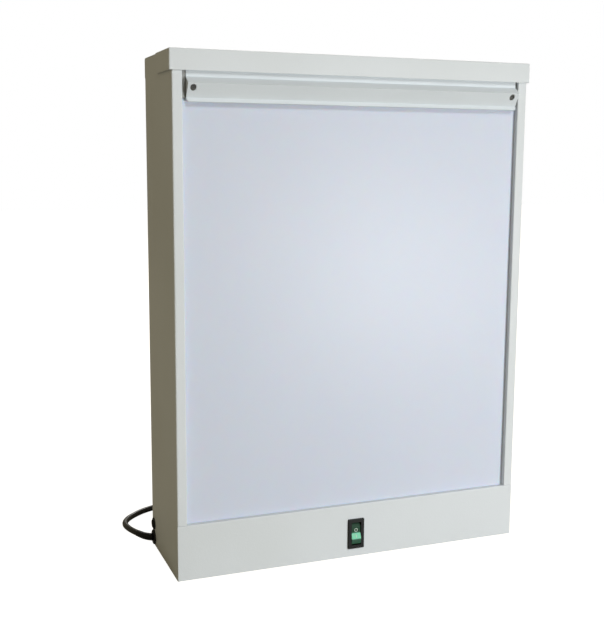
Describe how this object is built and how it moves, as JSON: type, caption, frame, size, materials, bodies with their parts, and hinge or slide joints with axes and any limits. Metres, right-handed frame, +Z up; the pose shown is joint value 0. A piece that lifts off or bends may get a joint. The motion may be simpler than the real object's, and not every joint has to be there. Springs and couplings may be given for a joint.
{
  "type": "film viewer light box",
  "caption": "Slim upright light box for viewing large transparent film: opal window between front strips, ridged film clip under a lift-off cap, rocker switch, side cord.",
  "frame": {"origin": "centre of the casing's base, at the middle of its depth without the film clip and cap", "axes": "+X to the viewer's right, -Y out of the viewing window, +Z up"},
  "size_m": [0.4053, 0.2251, 0.51],
  "materials": {
    "white_enamel": "satin",
    "clip_enamel": "satin",
    "zinc_steel": "satin",
    "opal_acrylic": "matt translucent",
    "white_nylon": "satin",
    "steel_screws": "bright",
    "dark_screws": "blackened",
    "black_plastic": "satin",
    "green_rocker": "gloss",
    "brass": "bright",
    "clear_glass": "gloss",
    "lamp_glass": "gloss over white phosphor",
    "aluminium": "satin",
    "white_plastic": "gloss",
    "reflector_enamel": "gloss",
    "grey_enamel": "satin",
    "cord_pvc": "satin",
    "core_pvc": "satin"
  },
  "bodies": {
    "housing": {"housing_body": "white_enamel", "bottom_plate": "white_enamel", "top_plate_rear": "white_enamel", "switch_panel": "white_enamel", "panel_guide_left": "zinc_steel", "panel_guide_right": "zinc_steel", "top_rail": "zinc_steel", "film_clip_bar": "clip_enamel", "clip_end_block_left": "white_nylon", "clip_end_block_right": "white_nylon", "clip_end_screws": "dark_screws", "clip_rail_screws": "steel_screws", "roller_dividers": "white_nylon", "switch_body": "black_plastic", "switch_tabs": "brass", "cable_gland": "black_plastic", "gland_nut": "black_plastic", "fuse_holder": "black_plastic", "fuse_cap": "black_plastic", "fuse_cartridge": "clear_glass", "terminal_block": "white_plastic", "terminal_screw": "steel_screws", "earth_stud": "steel_screws", "reflector_tray": "reflector_enamel", "tray_posts": "zinc_steel", "tray_screws": "steel_screws", "lamp_tube_left": "lamp_glass", "lamp_tube_right": "lamp_glass", "lamp_caps": "aluminium", "lamp_pins": "brass", "lampholders": "white_plastic", "starter_sockets": "white_plastic", "starters": "aluminium", "ballasts": "grey_enamel", "ballast_screws": "steel_screws", "supply_tail": "cord_pvc", "supply_wires": "core_pvc", "switch_wires": "core_pvc", "lamp_wires": "core_pvc", "mains_cord": "cord_pvc", "cord_coil": "cord_pvc", "cord_tail": "cord_pvc", "cord_tie": "black_plastic", "plug_body": "black_plastic", "plug_pins": "brass"},
    "cap": {"top_cap": "white_enamel"},
    "diffuser": {"diffuser_panel": "opal_acrylic"},
    "rocker": {"rocker": "green_rocker"},
    "roller_1": {"film_roller_1": "white_nylon"},
    "roller_2": {"film_roller_2": "white_nylon"},
    "roller_3": {"film_roller_3": "white_nylon"},
    "roller_4": {"film_roller_4": "white_nylon"}
  },
  "joints": [
    {"name": "cap_lift", "type": "slide", "parent": "housing", "child": "cap", "axis": [0, 0, 1], "range_m": [0, 0.5]},
    {"name": "diffuser_slide", "type": "slide", "parent": "housing", "child": "diffuser", "axis": [0, 0, 1], "range_m": [0, 0.45]},
    {"name": "rocker_hinge", "type": "hinge", "parent": "housing", "child": "rocker", "pos_m": [0.001, -0.0528, 0.0247], "axis": [1, 0, 0], "range_deg": [0, 20]},
    {"name": "roller_1_slide", "type": "slide", "parent": "housing", "child": "roller_1", "axis": [0, -0.5193, 0.8546], "range_m": [0, 0.0012]},
    {"name": "roller_2_slide", "type": "slide", "parent": "housing", "child": "roller_2", "axis": [0, -0.5193, 0.8546], "range_m": [0, 0.0012]},
    {"name": "roller_3_slide", "type": "slide", "parent": "housing", "child": "roller_3", "axis": [0, -0.5193, 0.8546], "range_m": [0, 0.0012]},
    {"name": "roller_4_slide", "type": "slide", "parent": "housing", "child": "roller_4", "axis": [0, -0.5193, 0.8546], "range_m": [0, 0.0012]}
  ],
  "couplings": [
    {"joint": "diffuser_slide", "follows": "cap_lift", "ratio": 0.9}
  ]
}
